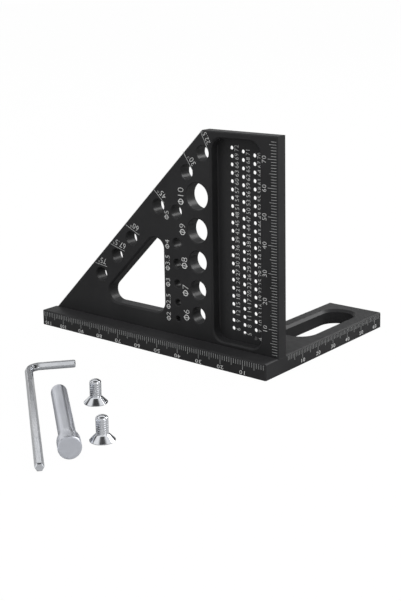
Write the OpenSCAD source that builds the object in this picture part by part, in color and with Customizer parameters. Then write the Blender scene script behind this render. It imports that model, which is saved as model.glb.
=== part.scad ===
// Adjustable set square: an upright 45 degree plate on an L-shaped base,
// with its locating pin, hexagon key and two countersunk screws laid beside it.
// Millimetres, +Z up. X = 0 is the right end face, Y = 0 the back of the plate
// and Z = 0 the surface that the base stands on. The front looks along +Y.

/* [Base] */
// Thickness of the fence rail and the arm
base_h = 6; // [5:0.5:9]
// Depth of the fence rail in front of the plate
rail_d = 7.5; // [6:0.5:12]
// Depth of the seat that holds the plate on the base
seat_h = 0.3; // [0.2:0.1:1]
// Length by which the rail runs past the foot of the plate
rail_over = 1; // [0.5:0.5:6]
// Width of the arm
arm_w = 24; // [22:0.5:34]
// Length of the arm behind the plate
arm_l = 65; // [60:1:110]
// Width of the arm's slot
slot_w = 13; // [8:0.5:14]
// Distance from the back of the plate to the slot
slot_start = 19.9; // [14:0.1:24]
// Distance from the slot to the far end of the arm
slot_end = 6.1; // [4:0.1:14]
// Width of the bevels round the slot's mouths
slot_rim = 1; // [0.4:0.1:1.6]

/* [Upright plate] */
// Thickness of the plate
plate_t = 5; // [4:0.5:8]
// Height of the plate's top above the ground
plate_h = 84; // [80:1:110]
// Width of the plate's top edge
top_w = 33; // [31:1:44]
// Width of the strip between the sloping edge and the window
border_w = 12; // [10:0.5:14]
// Distance from the right edge to the window
window_x = 52.6; // [51:0.1:60]
// Height of the window's lower edge
window_sill = 13.3; // [10:0.1:20]
// Corner radius of the window
window_r = 4; // [2:0.5:6]
// Width of the bevel round the window
window_rim = 0.7; // [0.3:0.1:1.2]

/* [Scribing pocket] */
// Distance from the right edge to the pocket
pocket_x = 7.6; // [6:0.1:10]
// Width of the pocket
pocket_w = 21.4; // [19:0.1:24]
// Height of the pocket's lower edge
pocket_sill = 7.4; // [7:0.1:12]
// Distance from the pocket to the plate's top edge
pocket_top = 2.5; // [2:0.1:6]
// Thickness left at the pocket's floor
pocket_floor = 1; // [0.8:0.1:1.6]
// Corner radius of the pocket's outline
pocket_r = 4.3; // [2:0.1:5]
// Radius where the pocket's side walls meet its floor
pocket_fillet = 0.5; // [0.25:0.25:2]
// Width of the bevel round the pocket
pocket_rim = 0.6; // [0.2:0.1:0.8]
// Diameter of a scribing hole
scribe_d = 1.4; // [0.9:0.1:1.6]
// Height from one scribing hole to the next
scribe_step = 1; // [1:0.5:2]
// Lowest scribed height above the base
scribe_first = 4; // [3:1:10]
// Distance from the right edge to the nearest column of scribing holes
scribe_x = 12.6; // [11:0.1:14]
// Distance between the columns of scribing holes
scribe_gap = 5; // [4:0.1:6]

/* [Gauge and angle holes] */
// Diameter of the smallest hole of the large gauge row
gauge_first = 6; // [5:1:7]
// Number of holes in the large gauge row
gauge_count = 5; // [2:1:5]
// Metal left between two large gauge holes
gauge_web = 3.1; // [2:0.1:4]
// Height of the lowest large gauge hole
gauge_z = 15.2; // [14:0.1:20]
// Distance from the right edge to the large gauge row
gauge_x = 35.8; // [35.2:0.1:36.5]
// Distance from the right edge to the small gauge row
small_x = 45.7; // [44:0.1:47]
// Height of the point that the angles are measured from
angle_z = 3.5; // [0:0.5:6]
// Diameter of the locating pin's shaft
pin_d = 5.4; // [4:0.1:6]
// Width of the bevel round the gauge and angle holes
hole_rim = 0.3; // [0.2:0.1:0.5]

/* [Fasteners] */
// Thread diameter of the screws
screw_d = 4; // [3:0.5:4]
// Overall length of a screw
screw_l = 8; // [8:1:11]
// Diameter of a screw's head
head_d = 8; // [7:0.1:8]
// Distance from the right edge to the first screw
screw_in = 4.6; // [4.5:0.1:5]
// Distance from the second screw to the left end of the seat
screw_edge = 5.4; // [5:0.1:7]
// Leg of the gusset in the inner corner of the base
gusset = 14; // [13:0.5:18]

/* [Locating pin] */
// Overall length of the pin
pin_l = 50; // [40:1:80]
// Diameter of the pin's head
pin_head_d = 7.1; // [6.5:0.1:10]
// Length of the pin's head
pin_head_l = 5.3; // [4:0.1:14]
// Length of the taper between head and shaft
pin_taper_l = 3; // [2:0.5:6]

/* [Hexagon key] */
// Width of the key across its flats
key_af = 2.5; // [2:0.5:3]
// Overall length of the long leg
key_long = 87.5; // [50:0.5:120]
// Overall length of the short leg
key_short = 18; // [14:0.5:30]
// Bend radius at the middle of the key
key_bend = 4.5; // [2.5:0.5:6]

/* [Hidden] */
$fn = 96;

// Colours
anodised = "#2b2c2e";
bright = "#c9cbce";
satin = "#a4a6a9";

// Clearances and small sizes that several pieces share
overrun = 1;
seat_clear = 0.1;
pin_clear = 0.1;
screw_clear = 0.5;
sink_clear = 0.2;
edge_break = 0.4;

// Outline of the base
rail_front = -plate_t - rail_d;
seat_z = base_h - seat_h;
foot_x = top_w + plate_h - base_h;
rail_l = foot_x + rail_over;
notch_x = arm_w + gusset;

// Slot of the arm, a little to the left of the arm's middle
slot_x = arm_w / 2 + slot_rim / 2;
slot_near = slot_start + slot_w / 2;
slot_far = arm_l - slot_end - slot_w / 2;

// The plate's sloping edge holds the points where z - x is this length
slope_at = plate_h + top_w;

// Window: its sloping side, then the centres of its three rounded corners as [x, z]
window_slope = slope_at - border_w * sqrt(2);
window_corner = [-window_x - window_r, window_sill + window_r];
window_top = [window_corner.x, window_corner.x + window_slope - window_r * sqrt(2)];
window_left = [window_corner.y - window_slope + window_r * sqrt(2), window_corner.y];

// Small gauge holes, from the lowest up, with the share of the plate's height where each one lies
small_sizes = [2, 2.5, 3, 3.5, 4, 5];
small_z_shares = [0.146, 0.22, 0.305, 0.397, 0.488, 0.63];
gauge_step = 1;

// Locating holes: angles from the upright, and the line halfway across the border strip
angles = [22.5, 30, 45, 60, 67.5, 75];
pin_hole_d = pin_d + pin_clear;
pin_inset = border_w / 2;

// Scribing holes climb through the columns in this order, counted from the right
scribe_order = [2, 0, 1];
scribe_land = 0.4;
scribe_relief = 0.55;
scribe_top = plate_h - pocket_top - pocket_rim - pocket_fillet - scribe_d / 2 - scribe_step;
scribe_last = floor((scribe_top - base_h) / scribe_step);

// Screws and their holes
screw_places = [-screw_in, screw_edge - notch_x];
screw_y = -plate_t / 2;
head_rim = 0.25;
thread_d = 0.975 * screw_d;
tap_d = 0.825 * screw_d;
tap_over = 1.5;
tap_l = screw_l - base_h + tap_over;
tip_round = 0.3 * screw_d;
socket_l = 0.4 * screw_d;

// Pin
pin_round = 0.3 * pin_d;
pin_lean = asin((pin_head_d - pin_d) / 2 / (pin_l - pin_head_l - pin_round));

// Key
key_edge = 0.14 * key_af;
key_edge_tan = 1.2;

// Places of the loose pieces on the ground, and the way that each one points
screw_1_at = [-33, -61.8];
screw_2_at = [-9.5, -82.7];
pin_at = [-7, -98.5];
pin_turn = 140.3;
key_at = [-74.4, -54.1];
key_turn = -39.8;

// Height of a large gauge hole, counted from the lowest
function gauge_height(i) = gauge_z + i * (gauge_first + gauge_web) + i * i * gauge_step / 2;

// Centre [x, z] of the locating hole whose pin touches the line at angle a from the corner
function pin_place(a) =
    let (
        r = pin_hole_d / 2,
        reach = (slope_at - angle_z - pin_inset * sqrt(2) + r * (sin(a) - cos(a)))
            / (sin(a) + cos(a))
    )
    [-reach * sin(a) - r * cos(a), angle_z + reach * cos(a) - r * sin(a)];

// Scribing hole [x, z] for the height that is n steps above the base
function scribe_place(n) =
    [-scribe_x - scribe_gap * scribe_order[n % len(scribe_order)], base_h + n * scribe_step];

// Bars that break a straight edge: along X, along Y and along Z
module break_x(from, to, y, z, leg = edge_break) {
    translate([(from + to) / 2, y, z])
        rotate([45, 0, 0])
        cube([to - from, leg * sqrt(2), leg * sqrt(2)], center = true);
}

module break_y(from, to, x, z, leg = edge_break) {
    translate([x, (from + to) / 2, z])
        rotate([0, 45, 0])
        cube([leg * sqrt(2), to - from, leg * sqrt(2)], center = true);
}

module break_z(x, y, height, leg = edge_break) {
    translate([x, y, height / 2])
        rotate([0, 0, 45])
        cube([leg * sqrt(2), leg * sqrt(2), height + 2 * overrun], center = true);
}

// Bar that breaks the edge of the plate's face at depth y, between two [x, z] points
module break_face(from, to, y, leg = edge_break) {
    run = to - from;
    mid = (from + to) / 2;
    translate([mid.x, y, mid.y])
        rotate([0, -atan2(run.y, run.x), 0])
        rotate([45, 0, 0])
        cube([norm(run), leg * sqrt(2), leg * sqrt(2)], center = true);
}

// Flat shape drawn as [x, z], standing in the plate from its back to its front
module through_plate(past = overrun) {
    rotate([90, 0, 0])
        translate([0, 0, -past])
        linear_extrude(plate_t + 2 * past)
        children();
}

// Round hole through the plate at [x, z], with its front rim bevelled
module plate_hole(place, d) {
    rotate([90, 0, 0]) translate([place.x, place.y, 0]) {
        translate([0, 0, -overrun])
            cylinder(d = d, h = plate_t + 2 * overrun);
        translate([0, 0, plate_t - hole_rim])
            cylinder(d1 = d, d2 = d + 2 * (hole_rim + overrun), h = hole_rim + overrun);
    }
}

// Slot with round ends, its upper and lower rims bevelled
module arm_slot() {
    translate([-slot_x, 0, 0]) {
        for (y = [slot_near, slot_far]) translate([0, y, 0]) {
            translate([0, 0, -overrun])
                cylinder(d = slot_w, h = base_h + 2 * overrun);
            translate([0, 0, base_h - slot_rim])
                cylinder(d1 = slot_w, d2 = slot_w + 2 * (slot_rim + overrun), h = slot_rim + overrun);
            translate([0, 0, -overrun])
                cylinder(d1 = slot_w + 2 * (slot_rim + overrun), d2 = slot_w, h = slot_rim + overrun);
        }
        translate([0, slot_far, 0])
            rotate([90, 0, 0])
            linear_extrude(slot_far - slot_near)
            polygon([
                [-slot_w / 2 - slot_rim - overrun, -overrun],
                [slot_w / 2 + slot_rim + overrun, -overrun],
                [slot_w / 2, slot_rim],
                [slot_w / 2, base_h - slot_rim],
                [slot_w / 2 + slot_rim + overrun, base_h + overrun],
                [-slot_w / 2 - slot_rim - overrun, base_h + overrun],
                [-slot_w / 2, base_h - slot_rim],
                [-slot_w / 2, slot_rim]
            ]);
    }
}

// Countersunk hole through the base, opening downwards
module screw_hole(x) {
    mouth = head_d + sink_clear;
    shank = screw_d + screw_clear;
    translate([x, screw_y, 0]) {
        translate([0, 0, -overrun])
            cylinder(d = shank, h = base_h + 2 * overrun);
        translate([0, 0, -overrun])
            cylinder(d = mouth, h = overrun + head_rim);
        translate([0, 0, head_rim])
            cylinder(d1 = mouth, d2 = shank, h = (mouth - shank) / 2);
    }
}

// Seat in the top of the base, open to the right end and to the rear of the rail
module plate_seat() {
    translate([-notch_x - overrun, -plate_t, seat_z])
        cube([notch_x + 2 * overrun, plate_t, seat_h + overrun]);
}

// L-shaped base: the fence rail in front, the slotted arm at the right and the gusset between
module fence_base() {
    color(anodised)
        difference() {
            linear_extrude(base_h)
                polygon([
                    [-rail_l, rail_front],
                    [0, rail_front],
                    [0, arm_l],
                    [-arm_w, arm_l],
                    [-arm_w, gusset],
                    [-notch_x, 0],
                    [-notch_x, -plate_t],
                    [-rail_l, -plate_t]
                ]);
            arm_slot();
            plate_seat();
            for (x = screw_places) screw_hole(x);
            break_x(-rail_l - overrun, overrun, rail_front, base_h);
            break_x(-arm_w - overrun, overrun, arm_l, base_h);
            break_y(rail_front - overrun, arm_l + overrun, 0, base_h);
            break_y(rail_front - overrun, -plate_t + overrun, -rail_l, base_h);
            break_y(gusset, arm_l + overrun, -arm_w, base_h);
            for (corner = [[-rail_l, rail_front], [0, rail_front], [0, arm_l], [-arm_w, arm_l]])
                break_z(corner.x, corner.y, base_h);
        }
}

// Window outline as [x, z]: three arcs about the corner centres, joined by straight sides
module window_outline() {
    out = [-window_r, window_r] / sqrt(2);
    polygon([
        window_left - [0, window_r],
        window_corner - [0, window_r],
        window_corner + [window_r, 0],
        window_top + [window_r, 0],
        window_top + out,
        window_left + out
    ]);
    for (c = [window_corner, window_top, window_left]) translate(c) circle(r = window_r);
}

// Window through the plate, with its front rim bevelled
module window() {
    out = [-window_r, window_r] / sqrt(2);
    through_plate() window_outline();
    for (c = [window_corner, window_top, window_left])
        rotate([90, 0, 0])
        translate([c.x, c.y, plate_t - window_rim])
        cylinder(r1 = window_r, r2 = window_r + window_rim + overrun, h = window_rim + overrun);
    break_face(window_left - [0, window_r], window_corner - [0, window_r], -plate_t, window_rim);
    break_face(window_corner + [window_r, 0], window_top + [window_r, 0], -plate_t, window_rim);
    break_face(window_left + out, window_top + out, -plate_t, window_rim);
}

// Pocket milled from the front: a rounded outline, filleted side walls and a bevelled rim
module pocket() {
    low = [-pocket_x - pocket_w, pocket_sill];
    high = [-pocket_x, plate_h - pocket_top];
    deep = plate_t - pocket_floor;
    intersection() {
        through_plate() {
            translate(low + [pocket_r, 0])
                square(high - low - [2 * pocket_r, 0]);
            translate(low + [0, pocket_r])
                square(high - low - [0, 2 * pocket_r]);
            for (x = [low.x + pocket_r, high.x - pocket_r], z = [low.y + pocket_r, high.y - pocket_r])
                translate([x, z]) circle(r = pocket_r);
        }
        translate([low.x, -plate_t, 0])
            linear_extrude(plate_h) {
                translate([0, -overrun])
                    square([pocket_w, deep - pocket_fillet + overrun]);
                translate([pocket_fillet, -overrun])
                    square([pocket_w - 2 * pocket_fillet, deep + overrun]);
                for (x = [pocket_fillet, pocket_w - pocket_fillet])
                    translate([x, deep - pocket_fillet]) circle(r = pocket_fillet);
            }
    }
    for (x = [low.x + pocket_r, high.x - pocket_r], z = [low.y + pocket_r, high.y - pocket_r])
        rotate([90, 0, 0])
        translate([x, z, plate_t - pocket_rim])
        cylinder(r1 = pocket_r, r2 = pocket_r + pocket_rim + overrun, h = pocket_rim + overrun);
    for (x = [low.x, high.x])
        break_face([x, low.y + pocket_r], [x, high.y - pocket_r], -plate_t, pocket_rim);
    for (z = [low.y, high.y])
        break_face([low.x + pocket_r, z], [high.x - pocket_r, z], -plate_t, pocket_rim);
}

// Scribing hole through the pocket's floor, widened towards the back
module scribe_hole(place) {
    rotate([90, 0, 0]) translate([place.x, place.y, 0]) {
        cylinder(d = scribe_d, h = plate_t);
        translate([0, 0, -overrun])
            cylinder(d = scribe_d + 2 * scribe_relief, h = overrun);
        cylinder(d1 = scribe_d + 2 * scribe_relief, d2 = scribe_d, h = pocket_floor - scribe_land);
    }
}

// Relief along the foot of the plate's front, so that the foot clears the rail
module foot_relief() {
    translate([-foot_x - overrun, -plate_t - overrun, -overrun])
        cube([foot_x + 2 * overrun, overrun + seat_clear, base_h + seat_clear + overrun]);
}

// Upright plate: window, pocket, gauge rows, locating holes and two tapped holes in its lower edge
module upright_plate() {
    top_left = [-top_w, plate_h];
    foot = [-foot_x, base_h];
    color(anodised)
        difference() {
            through_plate(0)
                polygon([
                    [-foot_x, 0],
                    [-notch_x - seat_clear, 0],
                    [-notch_x - seat_clear, seat_z],
                    [0, seat_z],
                    [0, plate_h],
                    top_left,
                    foot
                ]);
            foot_relief();
            window();
            pocket();
            for (n = [scribe_first:scribe_last]) scribe_hole(scribe_place(n));
            for (i = [0:gauge_count - 1])
                plate_hole([-gauge_x, gauge_height(i)], gauge_first + i * gauge_step);
            for (i = [0:len(small_sizes) - 1])
                plate_hole([-small_x, small_z_shares[i] * plate_h], small_sizes[i]);
            for (a = angles) plate_hole(pin_place(a), pin_hole_d);
            for (x = screw_places)
                translate([x, screw_y, seat_z - overrun])
                cylinder(d = tap_d, h = tap_l + overrun);
            for (y = [-plate_t, 0]) {
                break_face(foot, top_left, y);
                break_face(top_left, [0, plate_h], y);
                break_face([0, plate_h], [0, base_h], y);
            }
        }
}

// Countersunk screw with a hexagon socket, standing on its head
module countersunk_screw(place) {
    cone_l = (head_d - thread_d) / 2;
    color(bright)
        translate([place.x, place.y, 0])
        difference() {
            union() {
                cylinder(d = head_d, h = head_rim);
                translate([0, 0, head_rim])
                    cylinder(d1 = head_d, d2 = thread_d, h = cone_l);
                rotate_extrude() rounded_shaft(thread_d / 2, screw_l, tip_round);
            }
            translate([0, 0, -overrun])
                cylinder(d = key_af / cos(30), h = socket_l + overrun, $fn = 6);
        }
}

// Half profile of a shaft from zero up to its rounded end
module rounded_shaft(r, l, round) {
    square([r, l - round]);
    square([r - round, l]);
    translate([r - round, l - round])
        intersection() {
            circle(r = round);
            square(round);
        }
}

module countersunk_screw_1() {
    countersunk_screw(screw_1_at);
}

module countersunk_screw_2() {
    countersunk_screw(screw_2_at);
}

// Locating pin on its side: head and tip both touch the ground
module locating_pin() {
    taper_end = pin_head_l + pin_taper_l;
    color(satin)
        translate([pin_at.x, pin_at.y, 0])
        rotate([0, 0, pin_turn])
        translate([0, 0, pin_head_d / 2 * cos(pin_lean) + pin_head_l * sin(pin_lean)])
        rotate([0, 90 + pin_lean, 0])
        rotate_extrude() {
            translate([0, 0]) square([pin_head_d / 2, pin_head_l]);
            polygon([
                [0, pin_head_l],
                [pin_head_d / 2, pin_head_l],
                [pin_d / 2, taper_end],
                [0, taper_end]
            ]);
            rounded_shaft(pin_d / 2, pin_l, pin_round);
        }
}

// Hexagon bar along +Z with a bevelled end
module key_leg(l) {
    intersection() {
        linear_extrude(l)
            rotate(30)
            circle(d = key_af / cos(30), $fn = 6);
        cylinder(r1 = key_af / 2 - key_edge + l * key_edge_tan, r2 = key_af / 2 - key_edge, h = l);
    }
}

// Bent hexagon key lying flat
module hex_key() {
    leg_long = key_long - key_af / 2 - key_bend;
    leg_short = key_short - key_af / 2 - key_bend;
    color(bright)
        translate([key_at.x, key_at.y, key_af / 2])
        rotate([0, 0, key_turn]) {
            translate([key_bend, 0, 0])
                rotate([0, 90, 0])
                key_leg(leg_long);
            translate([0, key_bend, 0])
                rotate([0, 0, 90])
                rotate([0, 90, 0])
                key_leg(leg_short);
            translate([key_bend, key_bend, 0])
                rotate([0, 0, 180])
                rotate_extrude(angle = 90)
                translate([key_bend, 0])
                circle(d = key_af / cos(30), $fn = 6);
        }
}

fence_base();
upright_plate();
countersunk_screw_1();
countersunk_screw_2();
locating_pin();
hex_key();
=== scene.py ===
import math

import bmesh
import bpy
import numpy as np
from mathutils import Matrix

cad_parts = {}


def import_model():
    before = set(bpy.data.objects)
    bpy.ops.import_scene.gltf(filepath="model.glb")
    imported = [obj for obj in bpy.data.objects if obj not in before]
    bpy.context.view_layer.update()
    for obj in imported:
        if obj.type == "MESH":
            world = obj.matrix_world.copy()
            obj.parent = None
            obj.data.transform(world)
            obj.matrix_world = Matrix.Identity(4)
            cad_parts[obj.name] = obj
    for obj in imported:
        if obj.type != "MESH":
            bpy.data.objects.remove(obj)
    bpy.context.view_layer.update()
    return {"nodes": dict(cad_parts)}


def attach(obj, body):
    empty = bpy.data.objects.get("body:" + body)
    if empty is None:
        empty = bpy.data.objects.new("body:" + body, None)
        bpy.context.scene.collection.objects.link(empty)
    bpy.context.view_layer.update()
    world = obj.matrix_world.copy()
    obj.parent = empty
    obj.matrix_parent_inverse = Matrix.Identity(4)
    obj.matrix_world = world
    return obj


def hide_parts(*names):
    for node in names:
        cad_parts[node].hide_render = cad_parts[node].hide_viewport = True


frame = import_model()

MM = 0.001
UV_PER_MM = 0.1
UP = np.array([0.0, 0.0, 1.0])
WHITE = (1.0, 1.0, 1.0, 1.0)

# Places on the square, in millimetres: the faces with marks, the plate's top and z - x on its sloping edge
RAIL_FRONT, PLATE_FRONT, POCKET_FLOOR, BASE_TOP = -12.5, -5.0, -1.0, 6.0
PLATE_TOP, SLOPE = 84.0, 117.0

# The arm's slot: X of its middle, the ends of its straight part and half the width of its bevelled mouth
SLOT_X, SLOT_LINE, SLOT_MOUTH = -12.5, (26.4, 52.4), 7.5

# Faces that carry marks: origin, reading direction and upright direction
FENCE_FACE = (0, RAIL_FRONT, 0), (-1, 0, 0), (0, 0, -1)
ARM_FACE = (0, 0, 0), (0, 1, 0), (0, 0, 1)
HEIGHT_FACE = (0, PLATE_FRONT, BASE_TOP), (0, 0, 1), (-1, 0, 0)
POCKET_FACE = (0, POCKET_FLOOR, BASE_TOP), (0, 0, 1), (-1, 0, 0)
PLATE_FACE = (0, PLATE_FRONT, 0), (0, 0, 1), (-1, 0, 0)

# Depth of a mark's slab below the surface, its height above it, and the widths of a scale's and an
# angle's line
SUNK, PROUD, TICK, ANGLE_TICK = 0.03, 0.012, 0.14, 0.2

# Scales: number of marks, where each starts, and where it ends at a ten, at a five and elsewhere
FENCE_SCALE = 111, -5.5, -2.1, -2.8, -3.7
ARM_SCALE = 63, 5.5, 2.3, 3.0, 3.9
HEIGHT_SCALE = 76, 0.45, 4.1, 3.4, 2.7

# Lettering: height of a character, width of its cell, and how far its outline is moved out
FENCE_TYPE, FENCE_TYPE_NARROW = (1.4, 1.6, 0.0), (1.4, 1.25, 0.0)
ARM_TYPE, HEIGHT_TYPE, SCRIBING_TYPE = (1.4, 1.5, 0.0), (1.75, 1.4, -0.014), (1.7, 1.27, -0.014)
GAUGE_TYPE, SMALL_GAUGE_TYPE, ANGLE_TYPE = (2.7, 2.1, -0.018), (2.0, 1.65, -0.012), (2.2, 1.65, -0.012)

# Scribing numbers: distance of the first column from the right edge, and from one column to the next
FIRST_COLUMN, COLUMN_STEP = 10.45, 5.0

# Labels of the gauge holes: text, height and distance from the right edge, which the small ones share
GAUGE_LABELS = (("Φ6", 14.54, 41.5), ("Φ7", 23.83, 41.8), ("Φ8", 34.18, 42.1), ("Φ9", 46.78, 42.75),
                ("Φ10", 59.1, 43.25))
SMALL_GAUGE_LABELS = (("Φ2", 12.54), ("Φ2.5", 18.33), ("Φ3", 25.67), ("Φ3.5", 33.17), ("Φ4", 40.22),
                      ("Φ5", 51.3))
SMALL_LABEL_AT = 50.3

# Lines of the angles: label, outer and inner end as (height, distance from the right edge), how far along
# the line towards the outer end the label stands, and the label's size
ANGLE_LINES = (
    ("22.5°", (83.53, 33.48), (76.99, 30.09), 0.62, 0.8),
    ("30°", (75.56, 41.72), (68.81, 37.23), 0.44, 1.0),
    ("45°", (60.42, 56.57), (55.59, 51.33), 0.44, 1.0),
    ("60°", (45.06, 71.31), (41.82, 64.27), 0.44, 1.0),
    ("67.5°", (36.40, 79.41), (34.45, 72.25), 0.44, 1.0),
    ("75°", (27.69, 88.20), (26.92, 81.93), 0.44, 1.0),
)
ANGLE_LABEL_GAP = 1.8

# Darkest and lightest shade of each finish, and painted light on the pocket's floor: a brighter shade that
# stands in for the light its walls keep off
ANODISED, POCKET_PAINTED_LIGHT = ("#262627", "#303031"), "#303031"
NUMBERS, FINE_MARKS = ("#c9cacb", "#ececea"), ("#a6a7a8", "#c2c3c2")
ZINC, TURNED = ("#d3d6db", "#dfe1e5"), ("#d0d3db", "#d9dce3")

# Roughness of the blasted faces, from the smoothest place to the roughest, and of the plate's and the
# slot's walls
BLASTED, MILLED_PLATE, MILLED_SLOT = (0.48, 0.56), 0.34, 0.42

# Range in which nearly all of a noise lies
NOISE_RANGE = (0.3, 0.7)

# Studio levels: even light, the paper as it is seen, what it sends back in front of the square and behind
# it, where a darker level is painted shade for the metal and the window's walls to mirror, and the share of
# its seen shade that is its own light
ROOM_LIGHT, PAPER_SEEN, PAPER_FRONT, PAPER_PAINTED_SHADE, PAPER_GLOW = 0.45, 0.95, 0.46, 0.12, 0.985

# The sheet of paper in metres: half its side, and its height, a little below the object's feet
PAPER_HALF, PAPER_LOW = 12.0, -0.0002

# The mirrored room: height of the direction and level there
ROOM_RINGS = (
    (0.0, 1.0), (0.29, 1.0), (0.31, 0.05), (0.35, 0.05), (0.37, 1.0), (0.42, 1.0),
    (0.45, 0.09), (0.60, 0.09), (0.66, 1.0), (0.86, 1.0), (0.90, 0.05), (1.0, 0.05),
)

# Lamps: name, place, the point it is turned to, width and height, power, and whether it is mirrored
LAMPS = (
    ("back_light", (0.50, 1.36, 0.93), (-0.02, -0.02, 0.01), (0.85, 0.6), 15, True),
    ("top_light", (-0.10, -0.35, 1.05), (-0.03, -0.03, 0.02), (0.8, 0.6), 7, False),
    ("side_light", (0.95, -0.05, 0.35), (-0.03, 0, 0.03), (0.5, 0.5), 2.3, True),
)

# Camera: its place, its turn to the left, up and about its own axis in degrees, and in pixels the height of
# the frame, the focal length and the height of the optical axis below the top
CAMERA_AT, CAMERA_TURN = (0.21328, -0.304282, 0.132566), (39.5423, -10.0, -0.9618)
FRAME_TALL, FOCAL, AXIS_ROW = 601, 1100.899, 184.941


# Node trees and materials

def colour(code):
    """Linear colour of a hexadecimal sRGB code: c / 12.92, or ((c + 0.055) / 1.055) ^ 2.4 above the toe."""
    share = np.array([int(code[k:k + 2], 16) for k in (1, 3, 5)]) / 255
    linear = np.where(share <= 0.04045, share / 12.92, ((share + 0.055) / 1.055) ** 2.4)
    return (*linear.tolist(), 1.0)


def level(amount):
    """Neutral shade of a linear level."""
    return (amount, amount, amount, 1.0)


class Nodes:
    """A node tree, with short ways to add nodes. An input is a number, a shade or another node's output."""

    def __init__(self, tree):
        self.tree = tree
        self.coordinates = self.node("ShaderNodeTexCoord").outputs

    def own(self, kind):
        """The node of a kind that the tree has from the start."""
        return next(node for node in self.tree.nodes if node.type == kind)

    def feed(self, socket, value):
        """Links another node's output to a socket, or writes a number or a shade there."""
        if isinstance(value, bpy.types.NodeSocket):
            self.tree.links.new(value, socket)
        else:
            socket.default_value = value

    def node(self, kind, **inputs):
        """A new node; the name of an input has _ in place of a space."""
        made = self.tree.nodes.new(kind)
        for name, value in inputs.items():
            self.feed(made.inputs[name.replace("_", " ")], value)
        return made

    def maths(self, operation, *values):
        """Result of one operation on values."""
        made = self.node("ShaderNodeMath")
        made.operation = operation
        for socket, value in zip(made.inputs, values):
            self.feed(socket, value)
        return made.outputs[0]

    def least(self, first, *others):
        """Smallest of several values."""
        for other in others:
            first = self.maths("MINIMUM", first, other)
        return first

    def split(self, vector):
        """The three parts of a vector."""
        return self.node("ShaderNodeSeparateXYZ", Vector=vector).outputs

    def facing(self):
        """The three parts of the surface's outward direction."""
        return self.split(self.node("ShaderNodeNewGeometry").outputs["Normal"])

    def remap(self, source, old, new, kind="LINEAR"):
        """A value taken from one range to another, in a straight line or by a smooth step."""
        made = self.node("ShaderNodeMapRange", Value=source, From_Min=old[0], From_Max=old[1],
                         To_Min=new[0], To_Max=new[1])
        made.interpolation_type = kind
        return made.outputs["Result"]

    def ramp(self, source, low, high, unit=1.0):
        """Smooth step from 0 at low to 1 at high, both counted in a unit."""
        return self.remap(source, (low * unit, high * unit), (0.0, 1.0), "SMOOTHSTEP")

    def mix(self, kind, share, first, second):
        """From the first to the second by a share; the kind is VALUE for numbers and RGBA for shades."""
        made = self.node("ShaderNodeMix")
        made.data_type = "FLOAT" if kind == "VALUE" else kind
        ends = [socket for socket in made.inputs if socket.type == kind][-2:]
        for socket, value in zip((made.inputs[0], *ends), (share, first, second)):
            self.feed(socket, value)
        return next(socket for socket in made.outputs if socket.type == kind)

    def mix_shaders(self, share, first, second):
        """From the first shader to the second by a share."""
        made = self.node("ShaderNodeMixShader", Fac=share)
        self.feed(made.inputs[1], first)
        self.feed(made.inputs[2], second)
        return made.outputs["Shader"]


class Finish(Nodes):
    """A material with its Principled shader."""

    def __init__(self, name, **sockets):
        self.material = bpy.data.materials.new(name)
        self.material.use_nodes = True
        super().__init__(self.material.node_tree)
        self.shader = self.own("BSDF_PRINCIPLED")
        self.set(**sockets)

    def set(self, **sockets):
        """Feeds the shader's own sockets."""
        for name, value in sockets.items():
            self.feed(self.shader.inputs[name.replace("_", " ")], value)

    def noise(self, scale, detail=2.0, stretch=(1, 1, 1), uv=False):
        """Noise on Object coordinates, or on the piece's own UV map, stretched along chosen axes."""
        source = self.coordinates["UV" if uv else "Object"]
        place = self.node("ShaderNodeMapping", Vector=source, Scale=stretch).outputs[0]
        return self.node("ShaderNodeTexNoise", Vector=place, Scale=scale, Detail=detail).outputs["Fac"]

    def shades(self, source, dark, light):
        """Shade between a dark and a light one by a noise."""
        made = self.node("ShaderNodeValToRGB", Fac=source)
        for stop, where, shade in zip(made.color_ramp.elements, NOISE_RANGE, (dark, light)):
            stop.position = where
            stop.color = colour(shade)
        return made.outputs["Color"]

    def spread(self, source, low, high):
        """Number between low and high by a noise."""
        return self.remap(source, NOISE_RANGE, (low, high))

    def bump(self, *layers):
        """Chain of bumps, each a (height, strength, distance) triple."""
        last = {}
        for height, strength, distance in layers:
            made = self.node("ShaderNodeBump", Height=height, Strength=strength, Distance=distance, **last)
            last = {"Normal": made.outputs["Normal"]}
        self.set(**last)


def anodised_finish(name, walls, milled, painted_light=None):
    """Satin black anodising: blasted grain and a faint cloudy shade, smoother walls where a cutter went.

    walls(finish, x, y, z) gives the share of the milled roughness from the place on the piece. The last
    argument gives the share of painted light in the same way: a brighter shade on the pocket's floor that
    stands in for the light its walls keep off.
    """
    black = Finish(name, Specular_IOR_Level=0.14, Metallic=0.0)
    place = black.split(black.coordinates["Object"])
    shade = black.shades(black.noise(scale=45, detail=4), *ANODISED)
    # Painted light: the pocket's floor is mixed towards a brighter shade, against the shade of its walls
    if painted_light:
        shade = black.mix("RGBA", painted_light(black, *place), shade, colour(POCKET_PAINTED_LIGHT))
    blasted = black.spread(black.noise(scale=320, detail=3), *BLASTED)
    black.set(Base_Color=shade, Roughness=black.mix("VALUE", walls(black, *place), blasted, milled))
    black.bump((black.noise(scale=5200), 0.16, 0.00003), (black.noise(scale=900), 0.05, 0.00004))
    return black.material


def plate_walls(black, x, y, z):
    """Bores, window and pocket, but not their sills: the smallest of five ramps.

    They run over how far the surface is from facing up, the depth behind the front face, and the distances
    from the right edge, from the top and from the sloping edge.
    """
    rim, inside, inside_slope = 0.6, 1.2, 1.5
    return black.least(
        black.ramp(black.facing()[2], 0.97, 0.9),
        black.ramp(y, PLATE_FRONT + 0.1, PLATE_FRONT + 0.4, MM),
        black.ramp(x, -rim, -inside, MM),
        black.ramp(z, PLATE_TOP - rim, PLATE_TOP - inside, MM),
        black.ramp(black.maths("SUBTRACT", z, x), SLOPE - rim, SLOPE - inside_slope, MM),
    )


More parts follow.
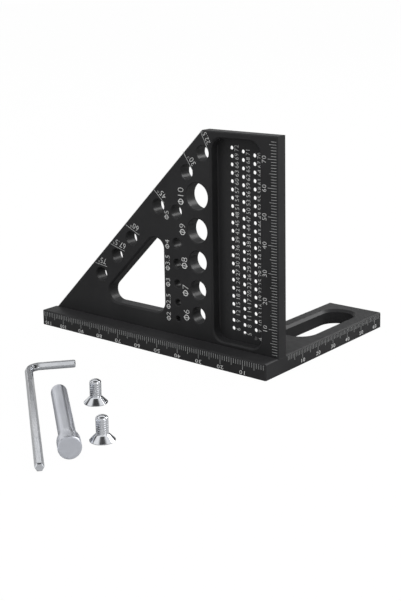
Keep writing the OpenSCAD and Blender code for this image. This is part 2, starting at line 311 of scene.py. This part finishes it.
def plate_floor(black, x, y, z):
    """Share of painted light on the pocket's floor: the smaller of two ramps, over its depth and over how
    far it faces the front.
    """
    front = black.ramp(black.facing()[1], -0.9, -0.97)
    return black.least(front, black.ramp(y, POCKET_FLOOR - 1.0, POCKET_FLOOR - 0.5, MM))


def slot_walls(black, x, y, z):
    """The arm's slot and its bevel: a ramp over the distance from the slot's middle line.

    The distance is the length of (x - middle, |y - middle| - half of the straight part), whose second part
    is 0 where it would be negative.
    """
    low, high = SLOT_LINE
    beside = black.maths("SUBTRACT", x, SLOT_X * MM)
    along = black.maths("ABSOLUTE", black.maths("SUBTRACT", y, (low + high) / 2 * MM))
    past = black.maths("MAXIMUM", black.maths("SUBTRACT", along, (high - low) / 2 * MM), 0.0)
    away = black.node("ShaderNodeVectorMath")
    away.operation = "LENGTH"
    black.feed(away.inputs[0], black.node("ShaderNodeCombineXYZ", X=beside, Y=past).outputs[0])
    return black.ramp(away.outputs["Value"], SLOT_MOUTH - 0.02, SLOT_MOUTH - 0.08, MM)


def engraved_finish(name, shades):
    """Laser-bleached marks: matt, a little uneven from one pass to the next."""
    marks = Finish(name, Specular_IOR_Level=0.25)
    marks.set(Base_Color=marks.shades(marks.noise(scale=900, detail=3), *shades))
    marks.set(Roughness=marks.spread(marks.noise(scale=2500), 0.6, 0.8))
    return marks.material


def bright_finish():
    """Zinc-plated steel: a bright blue-grey mirror with fine lines drawn along the piece."""
    zinc = Finish("bright_steel", Metallic=1.0)
    drawn = zinc.noise(scale=6, stretch=(30, 0.8, 1), uv=True)
    zinc.set(Base_Color=zinc.shades(zinc.noise(scale=70), *ZINC))
    zinc.set(Roughness=zinc.spread(drawn, 0.09, 0.16))
    zinc.bump((drawn, 0.03, 0.00001))
    return zinc.material


def satin_finish():
    """Turned steel: very fine rings left by the tool round the axis, in a satin grey."""
    steel = Finish("satin_steel", Metallic=1.0)
    rings = steel.noise(scale=30, stretch=(0.2, 300, 1), uv=True)
    steel.set(Base_Color=steel.shades(steel.noise(scale=60), *TURNED))
    steel.set(Roughness=steel.spread(rings, 0.3, 0.36))
    steel.bump((rings, 0.04, 0.00001))
    return steel.material


def coat(node, finish):
    """Gives a solid that stays its finish, in place of the one that it came with."""
    slots = frame["nodes"][node].data.materials
    slots.clear()
    slots.append(finish)


# Meshes

def signed_volume(points, faces):
    """Sum of a . (b x c) / 6 over a fan of each face: positive where the faces point outwards."""
    total = 0.0
    for k in range(1, faces.shape[1] - 1):
        a, b, c = points[faces[:, 0]], points[faces[:, k]], points[faces[:, k + 1]]
        total += np.sum(a * np.cross(b, c)) / 6
    return total


def piece(name, points, faces, finish, body, uv=None, crease=None):
    """A finished piece in metres from points in millimetres; its object stays at the origin."""
    mesh = bpy.data.meshes.new(name)
    mesh.from_pydata((np.asarray(points) * MM).tolist(), [], faces)
    mesh.materials.append(finish)
    if uv is not None:
        layer = mesh.uv_layers.new(name="UVMap")
        layer.data.foreach_set("uv", np.asarray(uv, np.float32).ravel())
    if crease is not None:
        mesh.polygons.foreach_set("use_smooth", np.ones(len(mesh.polygons), bool))
        mesh.set_sharp_from_angle(angle=math.radians(crease))
    mesh.validate()
    made = bpy.data.objects.new(name, mesh)
    bpy.context.scene.collection.objects.link(made)
    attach(made, body)
    return made


def swept_skin(rows, start, end):
    """Closed skin over a grid of rings (rows x columns x 3), with a pole at each end.

    Each ring is joined to the next by quads, column by column and round to the first again, and the first
    and the last ring close in a fan on their poles. Gives points, faces and UV (turn, length along), one
    UV for each corner of each face.
    """
    count, wide, _ = rows.shape
    points = np.vstack([rows.reshape(-1, 3), start, end])
    column = np.arange(wide)
    beside = (column + 1) % wide
    ring = np.arange(count - 1)[:, None]
    here, there = ring * wide, (ring + 1) * wide
    quads = np.stack([here + column, here + beside, there + beside, there + column], -1).reshape(-1, 4)
    first = np.stack([np.full(wide, count * wide), beside, column], -1)
    final = (count - 1) * wide
    last = np.stack([np.full(wide, count * wide + 1), final + column, final + beside], -1)

    steps = np.linalg.norm(rows[1:] - rows[:-1], axis=2).mean(1)
    first_cap = np.linalg.norm(rows[0] - start, axis=1).mean()
    last_cap = np.linalg.norm(rows[-1] - end, axis=1).mean()
    along = (first_cap + np.concatenate([[0], np.cumsum(steps)])) * UV_PER_MM
    tip = along[-1] + last_cap * UV_PER_MM
    left, right = column / wide, (column + 1) / wide

    def corners(*parts):
        """UV of the corners of faces, from u and v of one corner after the other."""
        return np.stack(np.broadcast_arrays(*parts), -1).reshape(-1, len(parts) // 2, 2)

    low, high = along[:-1, None], along[1:, None]
    blocks = (
        (quads, corners(left, low, right, low, right, high, left, high)),
        (first, corners(left, 0.0, right, along[0], left, along[0])),
        (last, corners(left, tip, left, along[-1], right, along[-1])),
    )
    inward = sum(signed_volume(points, faces) for faces, _ in blocks) < 0
    order = -1 if inward else 1
    faces = [face for block, _ in blocks for face in block[:, ::order].tolist()]
    return points, faces, np.vstack([uv[:, ::order].reshape(-1, 2) for _, uv in blocks])


# Engraving

CELLS = {".": 0.5, "°": 0.75, "Φ": 1.2}
ZERO_SHARE = 0.8
SLAB = [(3, 2, 1, 0), (4, 5, 6, 7), (0, 1, 5, 4), (1, 2, 6, 5), (2, 3, 7, 6), (3, 0, 4, 7)]
RAW_GLYPHS = {}


class Engraving:
    """Flat marks on one face of a solid, kept as thin slabs and joined into one mesh.

    A face is an origin, a reading direction u, an upright direction v and the outward normal n = u x v,
    so that a mark's point (x, y, h) lies at origin + x u + y v + h n.
    """

    def __init__(self, origin, u, v):
        self.origin = np.array(origin, float)
        self.directions = np.stack([u, v, np.cross(u, v)]).astype(float)
        self.points, self.faces, self.count = [], [], 0

    def add(self, flat, faces):
        """Appends a slab whose points are (x, y, h)."""
        self.points.append(self.origin + flat @ self.directions)
        self.faces += [[corner + self.count for corner in face] for face in faces]
        self.count += len(flat)

    def bar(self, start, end, width):
        """Straight mark from start to end: a rectangle of the given width along that line."""
        start, end = np.array(start, float), np.array(end, float)
        run = (end - start) / np.linalg.norm(end - start)
        side = np.array([-run[1], run[0]]) * width / 2
        corners = np.array([start - side, end - side, end + side, start + side])
        self.add(np.vstack([np.column_stack([corners, np.full(4, h)]) for h in (-SUNK, PROUD)]), SLAB)

    def word(self, text, centre, lettering, turn=0.0):
        """Characters side by side about a centre, each scaled to its height and to its cell's width.

        The word is turned by t about its centre: (x, y) goes to (x cos t - y sin t, x sin t + y cos t).
        """
        height, width, weight = lettering
        cells = np.array([CELLS.get(mark, 1.0) for mark in text]) * width
        middles = np.cumsum(cells) - cells / 2 - cells.sum() / 2
        cosine, sine = math.cos(turn), math.sin(turn)
        for mark, middle in zip(text, middles):
            shape, faces = diameter_sign() if mark == "Φ" else glyph(mark, weight)
            x, y = shape[:, 0] * width + middle, shape[:, 1] * height
            depth = np.where(shape[:, 2] > 0, PROUD, -SUNK)
            across, up = cosine * x - sine * y + centre[0], sine * x + cosine * y + centre[1]
            self.add(np.column_stack([across, up, depth]), faces)

    def finish(self, name, finish, body):
        """The marks as one piece."""
        return piece(name, np.vstack(self.points), self.faces, finish, body)


def raw_glyph(mark, weight):
    """Points and faces of a character of the built-in type, made a mesh once and kept."""
    if (mark, weight) not in RAW_GLYPHS:
        letter = bpy.data.curves.new("type", "FONT")
        letter.body = mark
        letter.size = 1
        letter.resolution_u = 2
        letter.extrude = 0.5
        letter.offset = weight
        holder = bpy.data.objects.new("type", letter)
        mesh = bpy.data.meshes.new_from_object(holder)
        soup = bmesh.new()
        soup.from_mesh(mesh)
        bmesh.ops.remove_doubles(soup, verts=soup.verts, dist=1e-4)
        bmesh.ops.recalc_face_normals(soup, faces=soup.faces)
        soup.to_mesh(mesh)
        soup.free()
        places = np.empty(3 * len(mesh.vertices), np.float32)
        mesh.vertices.foreach_get("co", places)
        faces = [list(polygon.vertices) for polygon in mesh.polygons]
        RAW_GLYPHS[mark, weight] = (places.astype(float).reshape(-1, 3), faces)
        bpy.data.objects.remove(holder)
        bpy.data.meshes.remove(mesh)
    return RAW_GLYPHS[mark, weight]


def glyph(mark, weight):
    """A character as a slab one cell wide and one unit high, centred and measured by the figure 0.

    Its x is counted from the character's middle and divided by the width of 0, which fills 0.8 of a cell.
    Its y is counted from the foot of 0, divided by the height of 0 and lowered by a half.
    """
    raw, faces = raw_glyph(mark, weight)
    zero, _ = raw_glyph("0", weight)
    low, high = zero.min(0), zero.max(0)
    shape = raw.copy()
    shape[:, 0] = (raw[:, 0] - (raw[:, 0].min() + raw[:, 0].max()) / 2) / ((high[0] - low[0]) / ZERO_SHARE)
    shape[:, 1] = (raw[:, 1] - low[1]) / (high[1] - low[1]) - 0.5
    return shape, faces


def diameter_sign():
    """A ring and an upright stroke through it, as slabs in the same units as a character.

    The ring lies between the ellipses (0.54 cos a, 0.44 sin a) and (0.38 cos a, 0.31 sin a). The stroke is
    cut into three, one inside the ring and a short tip above and below it.
    """
    turns = 24
    out = np.arange(turns)
    out_next = (out + 1) % turns
    inner, inner_next, lid = out + turns, out_next + turns, 2 * turns
    angle = out * 2 * np.pi / turns
    circle = np.stack([np.cos(angle), np.sin(angle)], -1)
    flat = np.vstack([circle * (0.54, 0.44), circle * (0.38, 0.31)])
    points = [np.column_stack([flat, np.full(2 * turns, h)]) for h in (-0.5, 0.5)]
    under = np.stack([out, inner, inner_next, out_next], -1)
    over = np.stack([out, out_next, inner_next, inner], -1) + lid
    outside = np.stack([out, out_next, out_next + lid, out + lid], -1)
    inside = np.stack([inner, inner + lid, inner_next + lid, inner_next], -1)
    faces = np.vstack([under, over, outside, inside]).tolist()
    count, half = 4 * turns, 0.065
    for low, high in ((-0.31, 0.31), (0.435, 0.54), (-0.54, -0.435)):
        corners = np.array([(-half, low), (half, low), (half, high), (-half, high)])
        points += [np.column_stack([corners, np.full(4, h)]) for h in (-0.5, 0.5)]
        faces += [[corner + count for corner in face] for face in SLAB]
        count += 8
    return np.vstack(points), faces


# The square's marks

def scale(name, body, face, marks, words, grey, white):
    """A scale: one mark for each millimetre, and numbers as (number, centre, lettering)."""
    count, start, tens, fives, ones = marks
    lines, numbers = Engraving(*face), Engraving(*face)
    for k in range(1, count + 1):
        end = tens if k % 10 == 0 else fives if k % 5 == 0 else ones
        lines.bar((k, start), (k, end), TICK)
    for number, centre, lettering in words:
        numbers.word(str(number), centre, lettering)
    lines.finish(f"{name}_lines", grey, body)
    numbers.finish(f"{name}_numbers", white, body)


def engrave_scales(grey, white):
    """Scales of the fence, read from the other side, of the arm, and of the height above the fence."""
    fence = [(k, (k, -1.05), FENCE_TYPE) for k in range(10, 100, 10)]
    fence += [(k, (at, -1.05), FENCE_TYPE_NARROW) for k, at in ((100, 100), (110, 108.6))]
    arm = [(k, (k + 0.15, 1.4), ARM_TYPE) for k in range(10, 70, 10)]
    height = [(k, (k - 0.2, 5.65), HEIGHT_TYPE) for k in range(10, 80, 10)]
    scale("fence", "base", FENCE_FACE, FENCE_SCALE, fence, grey, white)
    scale("arm", "base", ARM_FACE, ARM_SCALE, arm, grey, white)
    scale("height", "upright", HEIGHT_FACE, HEIGHT_SCALE, height, grey, white)


def engrave_pocket(white):
    """Heights from 4 to 72 beside the scribing holes, whose three columns take turns."""
    numbers = Engraving(*POCKET_FACE)
    for height in range(4, 73):
        column = (2, 0, 1)[height % 3]
        numbers.word(str(height), (height, FIRST_COLUMN + COLUMN_STEP * column), SCRIBING_TYPE)
    numbers.finish("scribing_numbers", white, "upright")


def engrave_diameters(white):
    """Diameters beside the gauge holes."""
    labels = Engraving(*PLATE_FACE)
    for text, height, at in GAUGE_LABELS:
        labels.word(text, (height, at), GAUGE_TYPE)
    for text, height in SMALL_GAUGE_LABELS:
        labels.word(text, (height, SMALL_LABEL_AT), SMALL_GAUGE_TYPE)
    labels.finish("diameter_labels", white, "upright")


def engrave_angles(grey, white):
    """Lines of the angles, and beside each its label, turned along it."""
    height, width, weight = ANGLE_TYPE
    lines, labels = Engraving(*PLATE_FACE), Engraving(*PLATE_FACE)
    for text, outer, inner, share, size in ANGLE_LINES:
        outer, inner = np.array(outer), np.array(inner)
        lines.bar(outer, inner, ANGLE_TICK)
        run = (outer - inner) / np.linalg.norm(outer - inner)
        side = np.array([-run[1], run[0]])
        centre = outer * share + inner * (1 - share) - side * ANGLE_LABEL_GAP * size
        labels.word(text, centre, (height * size, width * size, weight), math.atan2(run[1], run[0]))
    lines.finish("angle_lines", grey, "upright")
    labels.finish("angle_labels", white, "upright")


# Loose steel pieces

def screw(name, node, body, at, turn, steel):
    """Countersunk socket screw standing on its head, worked as one skin r(angle, height).

    The socket is a hexagon, r = 1.25 / cos(angle folded into +-30 degrees), which opens to a mouth between
    hexagon and circle. The head is a cone at 45 degrees.
    The thread is r = 1.95 - 0.05 (1 - crest). The crest is a triangle wave of height / 0.7 less the share
    of a turn, clipped so that three quarters of the pitch stay at full size.
    The tip is a dome, r = 0.3 + 1.65 cos a at height 7.1 + 0.9 sin a.
    """
    socket, socket_deep, socket_point, mouth, bevel = 1.25, 1.6, 1.75, 1.62, 0.16
    head, edge, rim, cone = 4.0, 0.18, 0.27, 2.02
    shank, pitch, groove_deep, thread_from, thread_to = 1.95, 0.7, 0.05, 2.36, 7.01
    flat_tip, dome_from, length = 0.3, 7.1, 8.0
    columns = 96
    share = np.arange(columns) / columns
    angle = share * 2 * np.pi + turn
    fold = (share * 2 * np.pi + np.pi / 6) % (np.pi / 3) - np.pi / 6
    hexagon = socket / np.cos(fold)
    rows, heights = [], []

    def ring(radius, height):
        """Adds a ring of one radius, or of one for each column, at a height."""
        rows.append(radius * np.ones(columns))
        heights.append(height)

    def groove(height):
        """Depth of the thread's groove round the shank at a height; it fades in below the head."""
        wave = 1 - np.abs(2 * ((height / pitch - share) % 1) - 1)
        fade = min(1, (height - 2.3) / 0.5)
        return fade * groove_deep * (1 - np.clip((wave - 0.05) / 0.18, 0, 1))

    ring(hexagon, socket_deep)
    ring(hexagon, bevel)
    ring(hexagon * 0.3 + mouth * 0.7, 0)
    ring(head - edge, 0)
    for a in np.radians((30, 60, 90)):
        ring(head - edge + edge * math.sin(a), edge * (1 - math.cos(a)))
    ring(head, rim)
    for s in np.linspace(0.06, 1, 8):
        ring(head - cone * s, rim + cone * s)
    for height in np.arange(thread_from, thread_to, pitch / 14):
        ring(shank - groove(height), height)
    for a in np.linspace(0.1, 1, 8) * np.pi / 2:
        ring(flat_tip + (shank - flat_tip) * math.cos(a), dome_from + (length - dome_from) * math.sin(a))
    radius, height = np.broadcast_arrays(rows, np.array(heights)[:, None])
    grid = np.stack([at[0] + radius * np.cos(angle), at[1] + radius * np.sin(angle), height], -1)
    points, faces, uv = swept_skin(grid, (*at, socket_point), (*at, length))
    made = piece(name, points, faces, steel, body, uv=uv, crease=34)
    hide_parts(node)


def pin(steel):
    """Locating pin on its side: a turned profile (distance along, radius) spun about its leaning axis.

    It leans until its head and the end of its shaft touch the ground. From the head to the shaft the radius
    follows the smooth step s s (3 - 2 s), and both ends are rounded by quarter circles.
    """
    head, shaft, length, neck, taper, edge = 3.55, 2.7, 50.0, 5.3, 3.0, 0.3
    tip = 0.6 * shaft
    at, turn = (-7.0, -98.5), math.radians(140.3)
    profile = [(0, radius) for radius in (0.6, 1.6, 2.5, head - edge)]
    for a in np.radians((30, 60, 90)):
        profile.append((edge * (1 - math.cos(a)), head - edge + edge * math.sin(a)))
    profile += [(along, head) for along in (0.8, 2, 3.6, neck - 0.2)]
    profile += [(neck + 0.1, head - 0.06)]
    for s in np.linspace(0.16, 1, 10):
        profile.append((neck + taper * s, head - (head - shaft) * s * s * (3 - 2 * s)))
    profile += [(along, shaft) for along in (10, 14, 19, 25, 31, 37, 42, 46, length - tip - 0.1)]
    for a in np.radians((12, 28, 44, 60, 75, 90)):
        profile.append((length - tip * (1 - math.sin(a)), shaft - tip * (1 - math.cos(a))))
    along, radius = np.array(profile).T
    angle = np.linspace(0, 2 * np.pi, 72, endpoint=False)
    lean = math.asin((head - shaft) / (length - neck - tip))
    axis = np.array([math.cos(lean) * math.cos(turn), math.cos(lean) * math.sin(turn), -math.sin(lean)])
    side = np.array([-math.sin(turn), math.cos(turn), 0])
    origin = np.array([*at, head * math.cos(lean) + neck * math.sin(lean)])
    ring = np.cos(angle)[:, None] * side + np.sin(angle)[:, None] * np.cross(axis, side)
    grid = origin + along[:, None, None] * axis + radius[:, None, None] * ring
    points, faces, uv = swept_skin(grid, origin, origin + axis * length)
    made = piece("pin", points, faces, steel, "pin", uv=uv, crease=34)
    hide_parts("locating_pin")


def key(steel):
    """Hexagon key: a hexagon with rounded corners carried along a leg, a quarter bend of 4.5 mm and a leg.

    A corner at 60 k degrees is an arc of radius 0.16 about the hexagon's corner drawn in along its own
    radius, with a point 0.07 mm beyond each end of it, so that the flats stay flat. A station is (place
    along the long leg, place across it, turn of the section, size of the section).
    """
    flats, bend, edge, beyond = 2.5, 4.5, 0.16, 0.07
    long_leg, short_leg = 87.5 - flats / 2, 18.0 - flats / 2
    at, turn = (-74.4, -54.1), math.radians(-39.8)
    centre = (flats / 2 - edge) / math.cos(math.radians(30))
    k = np.radians(np.repeat(np.arange(6) * 60, 7))
    a = k + np.radians(np.tile((-30, -30, -15, 0, 15, 30, 30), 6))
    flat = np.tile((-beyond, 0, 0, 0, 0, 0, beyond), 6)
    across_section = centre * np.cos(k) + edge * np.cos(a) - flat * np.sin(a)
    up_section = centre * np.sin(k) + edge * np.sin(a) + flat * np.cos(a)

    chamfer = ((0, 0.78), (0.12, 0.87), (0.3, 0.97), (0.5, 1.0))
    long_run = (long_leg - 0.57, long_leg - 0.8, *np.linspace(long_leg - 4, bend + 1, 9), bend + 0.06)
    short_run = (bend + 0.06, *np.linspace(bend + 1, short_leg - 4, 4), short_leg - 0.8, short_leg - 0.57)
    quarter = np.pi / 2
    stations = [(long_leg - back, 0.0, 0.0, size) for back, size in chamfer]
    stations += [(place, 0.0, 0.0, 1.0) for place in long_run]
    for t in np.linspace(0, quarter, 25):
        stations.append((bend * (1 - math.sin(t)), bend * (1 - math.cos(t)), t, 1.0))
    stations += [(0.0, place, quarter, 1.0) for place in short_run]
    stations += [(0.0, short_leg - back, quarter, size) for back, size in reversed(chamfer)]

    x, y, t, size = (column[:, None] for column in np.array(stations).T)
    along = np.array([math.cos(turn), math.sin(turn), 0])
    across = np.array([-math.sin(turn), math.cos(turn), 0])
    middle = np.array([*at, flats / 2]) + x * along + y * across
    sideways = -np.sin(t) * along - np.cos(t) * across
    section = across_section[:, None] * sideways[:, None] + up_section[:, None] * UP
    grid = middle[:, None] + size[:, None] * section
    points, faces, uv = swept_skin(grid, grid[0].mean(0), grid[-1].mean(0))
    made = piece("key", points, faces, steel, "key", uv=uv, crease=24)
    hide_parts("hex_key")


# Studio

def floor():
    """White paper: its own colour carries the background, and it keeps a faint shadow.

    What it sends back to the object is duller, and duller still behind the square's window, where the
    smaller of two ramps along Y and X is 1. That darker patch is painted shade, which darkens what the
    window's walls and the metal mirror there.
    """
    paper = Finish("paper", Roughness=0.9, Specular_IOR_Level=0.0)
    seen = paper.node("ShaderNodeLightPath").outputs["Is Camera Ray"]
    x, y, _ = paper.split(paper.coordinates["Object"])
    behind = paper.least(paper.ramp(y, -20, 20, MM), paper.ramp(x, -30, -50, MM))
    # Painted shade: behind the square's window the paper sends back less, so the window's walls and the
    # metal mirror it darker
    sent = paper.mix("RGBA", behind, level(PAPER_FRONT), level(PAPER_PAINTED_SHADE))
    paper.set(Base_Color=paper.mix("RGBA", seen, sent, level(PAPER_SEEN)))
    glow = paper.node("ShaderNodeEmission", Strength=1.0).outputs["Emission"]
    share = paper.maths("MULTIPLY", seen, PAPER_GLOW)
    surface = paper.mix_shaders(share, paper.shader.outputs["BSDF"], glow)
    paper.feed(paper.own("OUTPUT_MATERIAL").inputs["Surface"], surface)

    mesh = bpy.data.meshes.new("floor")
    corners = ((-1, -1), (1, -1), (1, 1), (-1, 1))
    mesh.from_pydata([(x * PAPER_HALF, y * PAPER_HALF, PAPER_LOW) for x, y in corners], [], [(0, 1, 2, 3)])
    mesh.materials.append(paper.material)
    made = bpy.data.objects.new("floor", mesh)
    bpy.context.scene.collection.objects.link(made)


def world():
    """White room: white where it is seen, a soft even light on the object, lamps and gaps in reflections.

    Mirrored light depends on the height of its direction, z: the white backdrop up to 0.3, a dark gap up
    to 0.36, a bright band up to 0.43, a dark gap up to 0.63, a ring of soft light up to 0.88 and a dark
    ceiling.
    """
    made = bpy.data.worlds.new("studio")
    bpy.context.scene.world = made
    made.use_nodes = True
    room = Nodes(made.node_tree)
    soft = room.own("BACKGROUND")
    room.feed(soft.inputs["Color"], WHITE)
    room.feed(soft.inputs["Strength"], ROOM_LIGHT)
    rings = room.node("ShaderNodeValToRGB", Fac=room.split(room.coordinates["Generated"])[2])
    stops = rings.color_ramp.elements
    for where, _ in ROOM_RINGS[1:-1]:
        stops.new(where)
    for stop, (where, amount) in zip(stops, ROOM_RINGS):
        stop.position = where
        stop.color = level(amount)
    mirrored = room.node("ShaderNodeBackground", Color=rings.outputs["Color"], Strength=1.0).outputs[0]
    seen = room.node("ShaderNodeBackground", Color=WHITE, Strength=1.0).outputs[0]
    path = room.node("ShaderNodeLightPath").outputs
    lit = room.mix_shaders(path["Is Glossy Ray"], soft.outputs[0], mirrored)
    straight = room.maths("MAXIMUM", path["Is Camera Ray"], path["Is Transmission Ray"])
    room.feed(room.own("OUTPUT_WORLD").inputs["Surface"], room.mix_shaders(straight, lit, seen))


def stand(made, at, right, up, back):
    """Puts a lamp or the camera at a point, with these directions as its own X, Y and Z axes."""
    bpy.context.scene.collection.objects.link(made)
    turned = Matrix(np.stack([right, up, back], 1).tolist()).to_4x4()
    turned.translation = at
    made.matrix_world = turned


def softbox(name, at, target, size, power, mirrored):
    """Area lamp at a point, its -Z axis turned to the target; one that is not mirrored only lights."""
    lamp = bpy.data.lights.new(name, "AREA")
    lamp.shape = "RECTANGLE"
    lamp.size, lamp.size_y = size
    lamp.energy = power
    made = bpy.data.objects.new(name, lamp)
    back = np.array(at, float) - np.array(target, float)
    back /= np.linalg.norm(back)
    right = np.cross(UP, back)
    right /= np.linalg.norm(right)
    stand(made, at, right, np.cross(back, right), back)
    made.visible_glossy = mirrored


def camera():
    """The view: turned 39.5 degrees to the left, 10 degrees down and rolled by 1 degree."""
    yaw, pitch, roll = np.radians(CAMERA_TURN)
    forward = np.array([-math.sin(yaw) * math.cos(pitch), math.cos(yaw) * math.cos(pitch), math.sin(pitch)])
    level_right = np.array([math.cos(yaw), math.sin(yaw), 0])
    level_up = np.cross(level_right, forward)
    right = level_right * math.cos(roll) + level_up * math.sin(roll)
    up = level_up * math.cos(roll) - level_right * math.sin(roll)
    lens = bpy.data.cameras.new("camera")
    lens.sensor_fit = "AUTO"
    lens.sensor_width = 36
    lens.lens = FOCAL * lens.sensor_width / FRAME_TALL
    lens.shift_y = -(FRAME_TALL / 2 - AXIS_ROW) / FRAME_TALL
    lens.clip_start, lens.clip_end = 0.01, 20
    made = bpy.data.objects.new("camera", lens)
    stand(made, CAMERA_AT, right, up, -forward)
    bpy.context.scene.camera = made


camera()
world()
floor()
for lamp in LAMPS:
    softbox(*lamp)

coat("fence_base", anodised_finish("anodised_base", slot_walls, MILLED_SLOT))
coat("upright_plate", anodised_finish("anodised_plate", plate_walls, MILLED_PLATE, plate_floor))
white = engraved_finish("engraved_white", NUMBERS)
grey = engraved_finish("engraved_grey", FINE_MARKS)
engrave_scales(grey, white)
engrave_pocket(white)
engrave_diameters(white)
engrave_angles(grey, white)
bright = bright_finish()
screw("screw_1_threaded", "countersunk_screw_1", "screw_1", (-33.0, -61.8), 0.3, bright)
screw("screw_2_threaded", "countersunk_screw_2", "screw_2", (-9.5, -82.7), 1.1, bright)
pin(satin_finish())
key(bright)

bpy.context.scene.view_settings.view_transform = "Standard"
